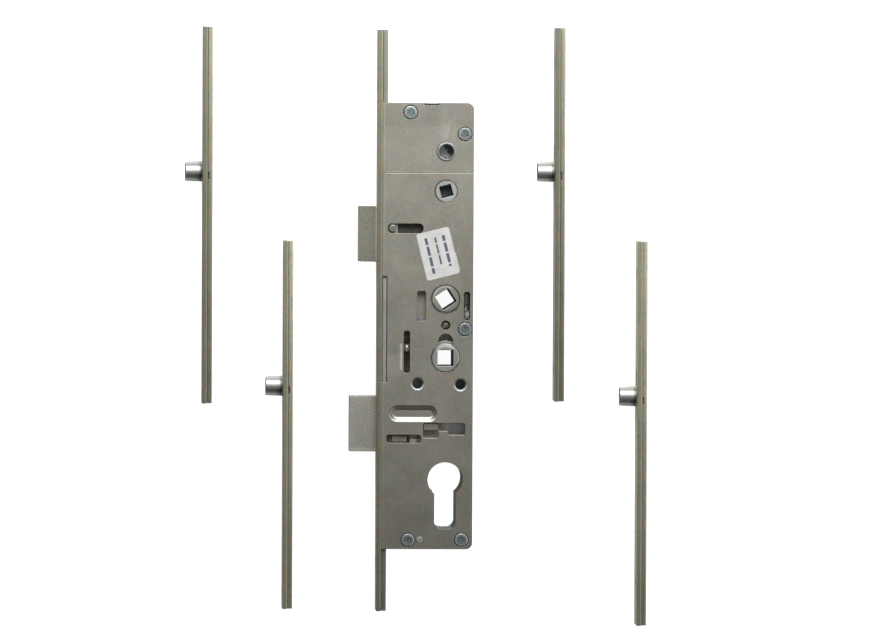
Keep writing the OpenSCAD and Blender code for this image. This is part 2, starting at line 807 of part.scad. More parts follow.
module lever_hub_lower() {
    color(bright_zinc) lock_place() translate([backset, lower_spindle_y, 0]) difference() {
        union() {
            rod_z(case_low + 0.3, case_high - 0.3, [0, 0], lower_hub_d);
            rod_z(lever_high + 0.5, inner_high - 0.5, [0, 0], lower_collar_d);
            slab(lever_low + 0.1, lever_high) arm([0, 0], [0, -finger_r], finger_w);
        }
        slab(0, plate_w) square(spindle_square, center = true);
    }
}

// Head of the latch: its near side slopes down to the tip
module latch_head() {
    y0 = latch_y - latch_h / 2;
    color(zinc_dark) lock_place() difference() {
        translate([0, y0 + latch_h, 0]) rotate([90, 0, 0]) linear_extrude(latch_h)
            polygon([[-latch_out, bolt_low], [latch_in, bolt_low], [latch_in, bolt_high],
                [-0.8, bolt_high], [-latch_out, bolt_low + 2.6]]);
        rod_z(bolt_low + 2, bolt_high + 1, [stud_x, stud_y], stud_d - 1.2 + 2 * press_gap);
    }
}

module latch_tail() {
    notch_x = [lever_head[0] - lever_peg_d / 2 - notch_gap, lever_head[0] + lever_peg_d / 2 + notch_gap];
    block_low = lever_head[1] - lever_head_reach;
    color(zinc_dark) lock_place() {
        slab(link_low, link_high) {
            translate([latch_in, stud_y - tail_w / 2]) square([tail_end - latch_in, tail_w]);
            difference() {
                translate([latch_in, block_low]) square([notch_block_length, stud_y - block_low]);
                translate([notch_x[0], block_low - 1])
                    square([notch_x[1] - notch_x[0], lever_head_reach + lever_peg_d / 2 + notch_gap + 1]);
            }
        }
        rod_x(tail_end, tail_rod_end, stud_y, (link_low + link_high) / 2, tail_rod_d);
    }
}

module latch_stud() {
    color(bright_zinc) lock_place() {
        rod_z(bolt_low + 2.1, bolt_high, [stud_x, stud_y], stud_d - 1.2);
        rod_z(bolt_high, case_high - 0.7, [stud_x, stud_y], stud_d);
        rod_z(case_high - 0.7, case_high - 0.4, [stud_x, stud_y], stud_d, stud_d - 0.8);
    }
}

module latch_spring() {
    x0 = tail_end + 0.2;
    color(bright_zinc) lock_place() translate([x0, stud_y, (link_low + link_high) / 2])
        rotate([0, 90, 0]) coil(spring_r, wire_d, spring_turns, wall_x - 0.1 - x0);
}

module latch_lever() {
    color(zinc_dark) lock_place() difference() {
        union() {
            slab(lever_low, lever_high) {
                arm(lever_head, lever_pivot, arm_w);
                arm(lever_pivot, lever_knee, arm_w);
                arm(lever_knee, lever_foot, arm_w);
                translate(lever_pivot) circle(d = lever_pin_head_d + 1);
            }
            rod_z(lever_high, link_high - 0.5, lever_head, lever_peg_d);
        }
        rod_z(0, plate_w, lever_pivot, lever_pin_d + run_gap);
    }
}

module snib_hub() {
    color(bright_zinc) lock_place() translate([backset, snib_y, 0]) difference() {
        union() {
            rod_z(case_low + 0.3, inner_low + 0.4, [0, 0], snib_pivot_d);
            rod_z(inner_low + 0.4, case_high - 0.3, [0, 0], snib_hub_d);
            slab(link_low, link_high)
                arm([0, 0], polar(snib_finger_r - snib_finger_w / 2, -75), snib_finger_w);
        }
        rotate(snib_turn) slab(case_high - 10, plate_w) square(snib_square, center = true);
    }
}

module deadbolt() {
    color(sintered) lock_place()
        translate([-deadbolt_out, deadbolt_y - deadbolt_h / 2, bolt_low])
        cube([deadbolt_out + deadbolt_in, deadbolt_h, bolt_t]);
}

module bolt_tail() {
    color(zinc_dark) lock_place() {
        slab(link_low, link_high) difference() {
            translate([deadbolt_in, tail_bottom])
                square([bolt_tail_end - deadbolt_in, bolt_tail_top - tail_bottom]);
            translate([talon_x[0], tail_bottom - 1])
                square([talon_x[1] - talon_x[0], talon_depth + 1]);
        }
        slab(link_high, case_high - 1.0) translate([block_x[0], block_y[0]])
            square([block_x[1] - block_x[0], block_y[1] - block_y[0]]);
        slab(link_high, inner_high - 0.7) translate([step_x[0], step_y[0]])
            square([step_x[1] - step_x[0], step_y[1] - step_y[0]]);
    }
}

module bolt_pad() {
    color(brass_brown) lock_place() slab(link_high, inner_high - 0.5)
        round_rect(pad_x[0], pad_x[1], pad_y[0], pad_y[1], 0.5);
}

module locking_lever() {
    color(zinc_dark) lock_place() difference() {
        slab(lever_low, lever_high) {
            arm(locking_pivot, locking_tip, arm_w);
            translate(locking_pivot) circle(d = locking_pin_d + 4.5);
        }
        rod_z(0, plate_w, locking_pivot, locking_pin_d + run_gap);
    }
}

module strip_plate(n) {
    s = strips[n - 1];
    color(zinc_grey) strip_place(n) difference() {
        translate([0, -s[3], 0]) cube([plate_t, s[2] + s[3], plate_w]);
        across(-1, plate_t + 1) {
            translate([0, mid_z - guide_slot_w / 2]) square([rail_travel, guide_slot_w]);
            translate([0, mid_z]) circle(d = guide_slot_w);
            translate([rail_travel, mid_z]) circle(d = guide_slot_w);
        }
        for (y = strip_fixing_y) fixing_hole(y + s[4]);
        for (y = strip_guide_y) guide_hole(y);
    }
}

module strip_guides(n) {
    color(bright_zinc) strip_place(n) for (y = strip_guide_y) guide(y);
}

module strip_rail(n) {
    s = strips[n - 1];
    relief_t = 0.7;
    color(zinc_grey) strip_place(n) difference() {
        rail_bar(-s[3], s[2]);
        rod_x(rail_front - 1, rail_back + 1, 0, mid_z, roller_pin_d + 2 * press_gap);
        for (y = strip_fixing_y)
            rail_slot(y + s[4], guide_slot_w, rail_front - 1, rail_back + 1);
        for (y = strip_guide_y) guide_slot(y);
        // Relief below the roller pin, seen as a dark slit from the side
        translate([rail_front - 1, -4.2, rail_high - 2]) cube([1 + relief_t, 3.9, 3]);
    }
}

module roller_pin(n) {
    tip = -roller_out + 0.15;
    color(bright_zinc) strip_place(n) difference() {
        union() {
            rod_x(tip + pin_head_t, rail_back, 0, mid_z, roller_pin_d);
            rod_x(tip, tip + pin_head_t, 0, mid_z, pin_head_d);
            rod_x(-0.3 - collar_t, -0.3, 0, mid_z, collar_d);
        }
        // Hexagon socket for turning the pin
        translate([tip - 1, 0, mid_z]) rotate([0, 90, 0]) cylinder(h = 4, d = 3.4, $fn = 6);
    }
}

// Roller on its pin: a slightly tapered barrel with a broken edge at its tip
module roller(n) {
    foot = -0.3 - collar_t - run_gap;
    bore_r = roller_pin_d / 2 + run_gap / 2;
    sink = -roller_out + 0.15 + pin_head_t + run_gap;
    sink_r = pin_head_d / 2 + run_gap;
    edge = 0.6;
    color(bright_zinc) strip_place(n) translate([0, 0, mid_z]) rotate([0, 90, 0])
        rotate_extrude() polygon([[bore_r, foot], [roller_d / 2 - 0.2, foot],
            [roller_d / 2, foot - 0.3], [roller_tip_d / 2 + 0.03, -roller_out + edge],
            [roller_tip_d / 2 - edge, -roller_out], [sink_r, -roller_out],
            [sink_r, sink], [bore_r, sink]]);
}

faceplate();
case_tray();
cover_upper();
cover_lower();
cover_screws();
case_pillars();
locating_rivet();
fixing_bush();
case_rivets();
rail_guides();
label();
stop_pin();
hub_leaf_spring();
lever_pivot_pin();
locking_lever_pin();
locking_spring();
drive_rail();
drive_slide();
lever_hub_upper();
lever_hub_lower();
latch_head();
latch_tail();
latch_stud();
latch_spring();
latch_lever();
snib_hub();
deadbolt();
bolt_tail();
bolt_pad();
locking_lever();
strip_plate(1);  // strip_plate_1
strip_plate(2);  // strip_plate_2
strip_plate(3);  // strip_plate_3
strip_plate(4);  // strip_plate_4
strip_guides(1);  // strip_guides_1
strip_guides(2);  // strip_guides_2
strip_guides(3);  // strip_guides_3
strip_guides(4);  // strip_guides_4
strip_rail(1);  // strip_rail_1
strip_rail(2);  // strip_rail_2
strip_rail(3);  // strip_rail_3
strip_rail(4);  // strip_rail_4
roller_pin(1);  // roller_pin_1
roller_pin(2);  // roller_pin_2
roller_pin(3);  // roller_pin_3
roller_pin(4);  // roller_pin_4
roller(1);  // roller_1
roller(2);  // roller_2
roller(3);  // roller_3
roller(4);  // roller_4
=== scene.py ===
import json
import math
import bmesh
import bpy
import numpy as np
from mathutils import Matrix, Vector


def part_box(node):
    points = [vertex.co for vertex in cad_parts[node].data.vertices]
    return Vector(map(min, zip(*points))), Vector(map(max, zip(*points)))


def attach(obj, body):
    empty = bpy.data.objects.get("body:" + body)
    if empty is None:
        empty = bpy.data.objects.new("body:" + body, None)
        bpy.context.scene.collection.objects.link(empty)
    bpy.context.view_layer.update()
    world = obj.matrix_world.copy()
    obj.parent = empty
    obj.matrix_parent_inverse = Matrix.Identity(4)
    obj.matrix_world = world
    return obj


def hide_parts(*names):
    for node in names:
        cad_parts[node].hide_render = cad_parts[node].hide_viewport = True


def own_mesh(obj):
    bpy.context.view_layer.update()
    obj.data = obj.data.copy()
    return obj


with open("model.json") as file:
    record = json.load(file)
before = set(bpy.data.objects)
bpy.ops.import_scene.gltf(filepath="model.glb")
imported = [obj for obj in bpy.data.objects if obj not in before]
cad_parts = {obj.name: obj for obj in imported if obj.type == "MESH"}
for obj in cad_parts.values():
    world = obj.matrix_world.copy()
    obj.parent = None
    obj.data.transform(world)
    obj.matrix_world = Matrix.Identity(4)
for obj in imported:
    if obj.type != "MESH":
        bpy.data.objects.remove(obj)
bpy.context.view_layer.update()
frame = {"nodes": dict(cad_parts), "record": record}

mm = 0.001
record = frame["record"]
bodyOf = {node: body for body, nodes in record["behaviour"]["bodies"].items() for node in nodes}
slotOf = {row["node"]: row["material_slot"] for row in record["subparts"]}


# Camera: far off, so that the lock shows almost no perspective, and a little to its upper left
photoCamera = {
    "place": (-0.1782, 0.1545, 5.017),
    "aim": (0.0138, 0.00615, 0.017),
    "lens": 399.18,
    "sensor": 36,
    "farEnd": 30,  # in metres, beyond the lock and the floor in every view
    "lean": 0.26,  # degrees that the lock leans to the right in the picture
}


def setCamera(look):
    # It looks from its place to its aim, and the picture's right is square to that line and to
    # the direction that leans from Y by the lock's lean
    lens = bpy.data.cameras.new("photoCamera")
    lens.lens = look["lens"]
    lens.sensor_width = look["sensor"]
    lens.clip_end = look["farEnd"]
    camera = bpy.data.objects.new("photoCamera", lens)
    bpy.context.scene.collection.objects.link(camera)
    place = Vector(look["place"])
    ahead = (Vector(look["aim"]) - place).normalized()
    lean = math.radians(look["lean"])
    right = ahead.cross(Vector((-math.sin(lean), math.cos(lean), 0))).normalized()
    camera.matrix_world = Matrix.LocRotScale(
        place, Matrix((right, right.cross(ahead), -ahead)).transposed(), None)
    bpy.context.scene.camera = camera


setCamera(photoCamera)
print("camera set")


class Wire:  # a socket of a shader tree, on which sums are written as Python expressions
    def __init__(self, tree, socket=None):
        self.tree = tree
        self.socket = socket

    def node(self, kind, settings, inputs, output=0):
        # Adds any node and gives its output, or several outputs where a tuple names them
        made = self.tree.nodes.new(kind)
        for name, value in settings.items():
            setattr(made, name, value)
        for name, value in inputs.items():
            if isinstance(value, Wire):
                self.tree.links.new(value.socket, made.inputs[name])
            else:
                made.inputs[name].default_value = value
        if isinstance(output, tuple):
            return [Wire(self.tree, made.outputs[name]) for name in output]
        return Wire(self.tree, made.outputs[output] if made.outputs else None)

    def math(self, operation, first, second=0.0, clamp=False):
        return self.node("ShaderNodeMath", {"operation": operation, "use_clamp": clamp},
                         {0: first, 1: second})

    def __add__(self, other):
        return self.math("ADD", self, other)

    def __radd__(self, other):
        return self.math("ADD", other, self)

    def __sub__(self, other):
        return self.math("SUBTRACT", self, other)

    def __rsub__(self, other):
        return self.math("SUBTRACT", other, self)

    def __mul__(self, other):
        return self.math("MULTIPLY", self, other)

    def __rmul__(self, other):
        return self.math("MULTIPLY", other, self)

    def __abs__(self):
        return self.math("ABSOLUTE", self)

    def step(self, low, high):  # 0 below low, 1 above high, smooth between them
        return self.node("ShaderNodeMapRange", {"interpolation_type": "SMOOTHSTEP"},
                         {"Value": self, "From Min": low, "From Max": high})

    def within(self, reach, soft):  # 1 nearer to zero than reach, 0 beyond it
        return 1 - abs(self).step(reach - soft, reach + soft)

    def tint(self, first, second):  # the first colour where the wire is 0, the second where it is 1
        ends = {6: first, 7: second}
        ends = {key: end if isinstance(end, Wire) else (*end, 1) for key, end in ends.items()}
        return self.node("ShaderNodeMix", {"data_type": "RGBA"}, {0: self, **ends}, 2)

    def shade(self, colour):  # the colour times the wire
        return self.node("ShaderNodeVectorMath", {"operation": "SCALE"}, {0: colour, 3: self})

    def noise(self, place, scale, detail=2.0, rough=0.5):
        return self.node("ShaderNodeTexNoise", {},
                         {"Vector": place, "Scale": scale, "Detail": detail, "Roughness": rough})

    def finish(self):  # the wire becomes the tree's surface
        kind = "ShaderNodeOutputWorld" if self.socket.node.type == "BACKGROUND" \
            else "ShaderNodeOutputMaterial"
        self.node(kind, {}, {"Surface": self})


def newMaterial(name):
    material = bpy.data.materials.new(name)
    material.use_nodes = True
    material.node_tree.nodes.clear()
    return material, Wire(material.node_tree)


def turned(x, y, centre, degrees):
    # Distances from a centre in mm, along a direction turned from X and across it
    turn = math.radians(degrees)
    along = (x - centre[0] * mm) * math.cos(turn) + (y - centre[1] * mm) * math.sin(turn)
    across = (y - centre[1] * mm) * math.cos(turn) - (x - centre[0] * mm) * math.sin(turn)
    return along, across


# How marks on the surface fade: along their edges as a share of their half width, and at the
# ends of an arc as a change of the cosine
fading = {"edge": 0.4, "end": 0.15}


def patch(x, y, centreX, centreY, length, width, turn):
    # 1 inside a turned rectangle of these half sizes in mm, 0 outside it, with soft edges
    u, v = turned(x, y, (centreX, centreY), turn)
    soft = fading["edge"] * width
    return u.within(length * mm, soft * mm) * v.within(width * mm, soft * mm)


def arc(x, y, centreX, centreY, radius, width, turn, reach):
    # 1 on part of a ring of this radius and half width in mm, around the direction turned from X.
    # Its ends lie where the cosine of the angle from that direction falls to reach
    u, v = turned(x, y, (centreX, centreY), turn)
    distance = x.math("SQRT", u * u + v * v)
    onRing = (distance - radius * mm).within(width * mm, fading["edge"] * width * mm)
    cosine = x.math("DIVIDE", u, distance)
    return onRing * cosine.step(reach - fading["end"], reach + fading["end"])


# Finishes: the hues that the surface is mottled with, its grain in details per metre, how rough and
# how dark the painted shade on its upright walls is, and the changes of light painted on it:
# wear and painted light and shade as (x, y, half length, half width, turn, gain) in mm, arcs of
# painted light and shade as (x, y, radius, half width, turn, reach, gain), tints of painted light
# and shade and rings of painted highlight as such a patch and an arc with a colour instead of the
# gain, a sink as (low, high, gain) in height, painted shade below it where the gain is below 0 and
# painted light where it is above, a gleam as the (place, half width) along Y where walls keep no
# painted shade, and a tone as (lower end, upper end, share at the lower end, share at the upper
# end) along Y, painted light that changes along the piece
finishes = {
    "plated_case": {
        "hues": ((0.380, 0.320, 0.275), (0.305, 0.335, 0.260), (0.325, 0.325, 0.315)),
        "metal": 0.90, "rough": 0.42, "mottle": 750, "smear": 0.9, "grain": 1700,
        "stretch": 0.9, "streak": 0.34, "cloud": 0.14, "bump": 0.10,
    },
    "plated_strip": {
        "hues": ((0.460, 0.345, 0.275), (0.345, 0.400, 0.240), (0.300, 0.360, 0.360)),
        "metal": 0.90, "rough": 0.44, "mottle": 1500, "smear": 0.15, "grain": 1900,
        "stretch": 0.25, "streak": 0.45, "cloud": 0.12, "bump": 0.12,
    },
    # Painted shade below 13 to 16.2 mm in height
    "plated_lever": {
        "hues": ((0.300, 0.262, 0.225), (0.250, 0.250, 0.220), (0.260, 0.260, 0.250)),
        "metal": 0.85, "rough": 0.44, "mottle": 420, "smear": 1.0, "grain": 1500,
        "stretch": 0.1, "streak": 0.15, "cloud": 0.25, "bump": 0.15, "sink": (13.0, 16.2, -0.55),
    },
    "bright_zinc": {
        "hues": ((0.44, 0.46, 0.475), (0.38, 0.43, 0.455), (0.43, 0.43, 0.45)),
        "metal": 0.95, "rough": 0.30, "mottle": 700, "smear": 1.0, "grain": 2200,
        "stretch": 0.3, "streak": 0.10, "cloud": 0.15, "bump": 0.10,
    },
    # Upright walls painted dark grey as painted shade
    "cast_hub": {
        "hues": ((0.290, 0.280, 0.260), (0.255, 0.275, 0.255), (0.275, 0.280, 0.285)),
        "metal": 0.88, "rough": 0.40, "mottle": 700, "smear": 1.0, "grain": 2600,
        "stretch": 1.0, "streak": 0.14, "cloud": 0.18, "bump": 0.16, "wall": 0.95, "dull": 0.02,
    },
    "sintered_bolt": {
        "hues": ((0.500, 0.425, 0.370), (0.375, 0.435, 0.345), (0.420, 0.410, 0.430)),
        "metal": 0.85, "rough": 0.46, "mottle": 1100, "smear": 1.0, "grain": 1700,
        "stretch": 1.0, "streak": 0.85, "cloud": 0.22, "bump": 0.35,
        "rubs": [(-27.0, -63.0, 9.0, 0.9, 0, 0.22)],
    },
    "spring_steel": {
        "hues": ((0.30, 0.29, 0.25), (0.25, 0.28, 0.25), (0.27, 0.28, 0.30)),
        "metal": 0.85, "rough": 0.55, "mottle": 700, "smear": 1.0, "grain": 2200,
        "stretch": 0.2, "streak": 0.15, "cloud": 0.15, "bump": 0.08,
    },
    "greased_link": {
        "hues": ((0.270, 0.215, 0.165), (0.200, 0.180, 0.145), (0.215, 0.195, 0.170)),
        "metal": 0.60, "rough": 0.50, "mottle": 300, "smear": 1.0, "grain": 1200,
        "stretch": 0.3, "streak": 0.2, "cloud": 0.30, "bump": 0.25,
    },
    "roller_chrome": {
        "hues": ((0.52, 0.49, 0.45), (0.45, 0.49, 0.45), (0.49, 0.49, 0.54)),
        "metal": 1.0, "rough": 0.44, "mottle": 900, "smear": 1.0, "grain": 4500,
        "stretch": 1.0, "streak": 0.06, "cloud": 0.08, "bump": 0.05,
    },
    # Painted shade: the dark bars in the gaps between plates and rails
    "gap_shade_bar": {
        "hues": ((0.170, 0.160, 0.145), (0.130, 0.165, 0.145), (0.130, 0.160, 0.160)),
        "metal": 0.0, "rough": 0.55, "mottle": 500, "smear": 0.3, "grain": 1500,
        "stretch": 0.3, "streak": 0.2, "cloud": 0.25, "bump": 0.2,
    },
}

# Places on the case's front in mm, and the covers' front edge and seam in metres
front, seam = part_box("cover_upper")[0][:2]
frontPlace, seamPlace = front / mm, seam / mm
upperHub, lowerHub, snib = (14.9, 14.0), (14.9, -16.0), (14.9, 68.9)
bush = (14.9, seamPlace + 10.7)
leftHole, rightHole = (0.7, -29.0), (22.5, -29.5)
screws = [(-3.4, 109.0), (24.3, 98.0), (24.8, -1.3), (-3.9, -108.8), (23.3, -108.7)]

# Pieces with marks of their own, most of them painted light and shade: lips and rims painted
# lighter as if they catch the light, painted highlights and shade, tints that stand in for shade
# and reflections, and lighter and darker streaks and patches
# Painted highlights on the lips of the seam, the front edge and the slots and beside the slide's
# slot, lighter streaks and patches and a darker band near the upper end, crescents of painted
# highlight with bluish rings below the two holes, darker painted rings round the hubs, the bush and
# the snib, painted light and shade on the bead with a bluish tint for the highlight on its lower
# wall, painted shade on upright walls, and painted shade towards the lower end
finishes["cover_plate"] = {
    **finishes["plated_case"], "wall": 0.92, "dull": 0.03,
    "rubs": [(15.7, 100.2, 5.2, 0.8, 78, 0.16), (18.85, 101.5, 7.0, 0.6, 89, 0.07),
             (13.6, 104.0, 8.0, 1.6, 86, 0.08), (10.0, seamPlace + 0.3, 26.0, 0.12, 0, 0.45),
             (-7.65, -15.3, 6.6, 0.42, 90, 0.95), (-8.1, -15.3, 6.6, 1.0, 90, 0.14),
             (10.0, seamPlace - 0.38, 26.0, 0.3, 0, 0.80),
             (frontPlace + 0.7, 5, 130, 0.3, 90, 0.25),
             (14.3, -48.7, 10.2, 0.2, 0, 0.45), (-6.2, -54.8, 8.2, 0.2, 0, 0.30),
             (7.4, -56.8, 3.6, 0.2, 0, 0.50), (20.4, -55.1, 4.2, 0.2, 0, 0.50),
             (13.6, -53.4, 2.2, 0.2, 0, 0.40), (5.0, 108.0, 24.0, 6.0, 0, -0.14),
             (-12.0, -19.7, 6.0, 5.0, 0, 0.15)],
    "arcs": [(*leftHole, 2.85, 0.5, -90, 0.1, 1.1), (*rightHole, 2.85, 0.5, -90, 0.1, 1.1),
             (*upperHub, 7.6, 0.3, 225, -0.2, -0.35), (*lowerHub, 7.5, 0.25, 225, 0.1, -0.35),
             (*bush, 5.0, 0.16, 200, -0.8, -0.4), (*snib, 5.9, 0.2, 160, 0.0, -0.5)],
    "rings": [(*leftHole, 2.85, 0.5, -80, 0.25, (0.62, 0.66, 0.72)),
              (*rightHole, 2.85, 0.5, -80, 0.25, (0.62, 0.66, 0.72))],
    "lightShadeTints": [(-1.5, -47.1, 8.6, 0.55, 0, (0.34, 0.34, 0.40))],
    "bead": {"centre": (-1.5, -44.35), "reach": 8.15, "half": 4.2, "ledge": (1.0, 1.45),
             "foot": 2.3, "soft": 0.2, "middle": 1.0, "ledgeGain": (-0.7, 0.45),
             "wallGain": (0.1, -0.25)},
    "gleam": (seamPlace, 0.4), "tone": (-113.0, -30.0, 0.84, 1.0),
}
# Painted light: the tray's floor and rim seen through the openings are painted paler to make up for
# their shadow, some patches past white, and blue-green and blue tints where the holes and the
# cylinder opening lie in shade
finishes["tray_plate"] = {**finishes["plated_case"], "lightShadeTints": [
    (14.9, -102.9, 3.8, 1.1, 0, (0.75, 0.80, 0.85)),
    (20.3, -99.0, 3.6, 0.7, 78, (0.20, 0.38, 0.55)),
    (19.6, -52.6, 6.0, 4.0, 0, (2.4, 2.45, 2.4)), (14.9, -6.8, 4.0, 3.5, 0, (1.1, 1.1, 0.95)),
    (0.7, -29.2, 3.0, 3.0, 0, (0.26, 0.38, 0.38)), (22.6, -29.7, 3.0, 3.0, 0, (0.26, 0.38, 0.38)),
    (25.7, 12.5, 3.2, 2.2, 90, (0.75, 0.72, 0.64)),
    (25.95, 12.8, 3.3, 0.5, 90, (2.3, 2.2, 1.95))]}
# A near-black patch of painted shade
finishes["deadbolt_sintered"] = {
    **finishes["sintered_bolt"], "lightShadeTints": [(-14.0, -57.2, 1.7, 2.4, 0, (0.05, 0.045, 0.04))],
}
# Painted light below 13 mm, painted shade on a patch, and two near-black patches of painted shade
# with a paler one between them
finishes["bolt_link"] = {
    **finishes["plated_lever"], "sink": (13.0, 14.0, 0.5),
    "rubs": [(6.5, -50.4, 4.5, 1.5, 0, -0.22)],
    "lightShadeTints": [(-4.2, -57.3, 0.9, 2.4, 0, (0.05, 0.05, 0.04)),
               (1.3, -57.3, 0.8, 2.4, 0, (0.06, 0.06, 0.05)),
               (-1.5, -57.7, 1.5, 1.5, 0, (0.40, 0.41, 0.35))],
    "hues": ((0.310, 0.262, 0.220), (0.262, 0.262, 0.220), (0.270, 0.262, 0.240)),
}
finishes["latch_bolt"] = {
    **finishes["sintered_bolt"],
    "hues": ((0.64, 0.54, 0.46), (0.48, 0.55, 0.43), (0.53, 0.52, 0.53)),
}
# Painted shade in the recess below 17.5 mm and on upright walls, a painted highlight on each head's
# rim and painted shade inside it
finishes["screw_zinc"] = {
    **finishes["bright_zinc"], "hues": ((0.47, 0.51, 0.51), (0.39, 0.47, 0.48), (0.44, 0.46, 0.48)),
    "wall": 0.85, "dull": 0.05, "sink": (17.5, 18.1, -0.28), "streak": 0.8,
    "arcs": [(*place, 2.85, 0.3, 100, -0.5, 0.32) for place in screws]
    + [(*place, 1.9, 0.35, -80, -0.2, -0.25) for place in screws],
}
finishes["rivet_dull"] = {
    **finishes["plated_case"], "hues": ((0.33, 0.32, 0.29), (0.30, 0.33, 0.28), (0.33, 0.33, 0.31)),
    "rough": 0.62,
}
# Upright walls painted dark as painted shade, a dark painted ring at its outline and painted shade
# on one side of its middle
finishes["bush_zinc"] = {
    **finishes["bright_zinc"], "hues": ((0.60, 0.60, 0.58), (0.54, 0.58, 0.58), (0.58, 0.57, 0.60)),
    "wall": 0.75, "dull": 0.10,
    "arcs": [(*bush, 4.32, 0.14, 0, -2, -0.55), (*bush, 2.3, 1.4, 35, 0.3, -0.75)],
}
# Painted shade below 16 to 17 mm in height and a dark painted ring
finishes["snib_cast"] = {
    **finishes["cast_hub"], "hues": ((0.50, 0.49, 0.48), (0.45, 0.49, 0.47), (0.48, 0.48, 0.51)),
    "sink": (16.0, 17.0, -0.72), "arcs": [(*snib, 5.5, 0.25, 160, 0.0, -0.6)],
}
# Painted light and shade: a dark ring at its rim, painted shade and a painted highlight on arcs
# inside it, the sector seen in the slot painted lighter along its edge and over its face, and a
# reddish and a bluish tint at the slot's ends
finishes["hub_upper_cast"] = {
    **finishes["cast_hub"], "hues": ((0.39, 0.37, 0.33), (0.34, 0.375, 0.315), (0.355, 0.37, 0.37)),
    "arcs": [(*upperHub, 6.95, 0.28, 0, -2, -0.55), (*upperHub, 6.4, 0.35, 235, 0.2, -0.45),
             (*upperHub, 6.35, 0.3, 128, 0.35, 0.95)],
    "rubs": [(0.75, 10.4, 8.6, 0.55, 90, 0.65)],
    "lightShadeTints": [(2.55, 10.45, 8.4, 2.6, 90, (0.52, 0.49, 0.40)),
               (1.9, 16.4, 1.3, 1.3, 0, (0.58, 0.36, 0.28)),
               (2.0, 3.9, 1.2, 1.2, 0, (0.48, 0.51, 0.62))],
}
# A dark painted ring at its rim and two arcs of painted highlight
finishes["hub_lower_cast"] = {
    **finishes["cast_hub"],
    "hues": ((0.42, 0.405, 0.375), (0.37, 0.405, 0.37), (0.40, 0.405, 0.415)),
    "arcs": [(*lowerHub, 6.95, 0.28, 235, -0.35, -0.6), (*lowerHub, 6.8, 0.25, 30, 0.6, 0.8),
             (*lowerHub, 6.2, 0.8, 95, 0.72, 0.8)],
}
finishes["stud_zinc"] = {
    **finishes["bright_zinc"], "hues": ((0.38, 0.38, 0.35), (0.34, 0.36, 0.33), (0.36, 0.36, 0.36)),
}
# A pale blue painted highlight
finishes["pin_brown"] = {
    **finishes["greased_link"],
    "hues": ((0.19, 0.14, 0.11), (0.15, 0.12, 0.10), (0.17, 0.13, 0.12)),
    "rough": 0.62, "lightShadeTints": [(13.7, -0.4, 0.7, 0.4, 20, (0.55, 0.58, 0.75))],
}
# A speck of painted glint, past white
finishes["slide_link"] = {
    **finishes["greased_link"], "lightShadeTints": [(-4.6, -10.2, 0.4, 0.4, 0, (2.5, 2.6, 2.6))],
}
# Painted light and shade that make up for the slot's shadow: darker low down, lighter higher up,
# with a bright painted streak and a fainter one
finishes["leaf_steel"] = {**finishes["spring_steel"], "rubs": [
    (25.7, 6.0, 4.2, 2.0, 90, -0.6), (25.7, 12.5, 2.5, 2.0, 90, 0.6),
    (25.95, 12.0, 3.7, 0.28, 73, 3.0), (26.0, 6.1, 2.5, 0.22, 68, 0.2)]}

# Shares of light at the lower and the upper end of each long strip, as its own light falls on it,
# painted into its colour, and a painted highlight along its edge towards +X
tones = {
    "faceplate": (0.61, 0.58), "drive_rail": (0.62, 0.74),
    "strip_plate_1": (0.62, 0.52), "strip_plate_2": (0.80, 0.84),
    "strip_plate_3": (0.62, 0.52), "strip_plate_4": (0.80, 0.96),
    "strip_rail_1": (0.62, 0.92), "strip_rail_2": (0.75, 1.40),
    "strip_rail_3": (0.62, 0.92), "strip_rail_4": (0.85, 1.50),
}
for node, shares in tones.items():
    low, high = np.array(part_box(node)) / mm
    finishes[f"{node}_steel"] = {
        **finishes["plated_strip"], "tone": (low[1], high[1], *shares),
        "rubs": [(high[0] - 0.3, (low[1] + high[1]) / 2, high[1] - low[1], 0.28, 90, 0.55)]}

# The drive rail is bright in the case's window, as wear and painted light, with a dark line of
# painted shade along its rear edge
finishes["drive_rail_steel"].update(
    rubs=[(-15.7, -1.35, 26.9, 3.0, 90, 0.9), (-15.5, -1.35, 26.9, 0.2, 90, 0.5),
          (-15.05, -1.35, 26.9, 0.28, 90, -1.3)],
    hues=((0.40, 0.37, 0.32), (0.35, 0.39, 0.33), (0.35, 0.38, 0.36)))

# Each roller has painted shade at its tip's rim, with a painted highlight just inside it, painted
# shade towards its root, a painted highlight along its upper side and painted shade along its lower
# side
for count in (1, 2, 3, 4):
    low, high = np.array(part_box(f"roller_{count}")) / mm
    (middleX, middleY), width = (low[:2] + high[:2]) / 2, high[1] - low[1]
    finishes[f"roller_{count}_chrome"] = {**finishes["roller_chrome"], "rubs": [
        (high[0], middleY, width, 0.6, 90, -0.45),
        (high[0] - 0.6, middleY - 3.0, 1.6, 1.6, 90, -0.35),
        (low[0], middleY, width, 0.4, 90, -0.75), (low[0] + 0.75, middleY, width, 0.2, 90, 0.25),
        (middleX, high[1] - 0.5, width, 1.0, 0, 0.85),
        (middleX, low[1] + 0.3, width, 0.7, 0, -0.35)]}


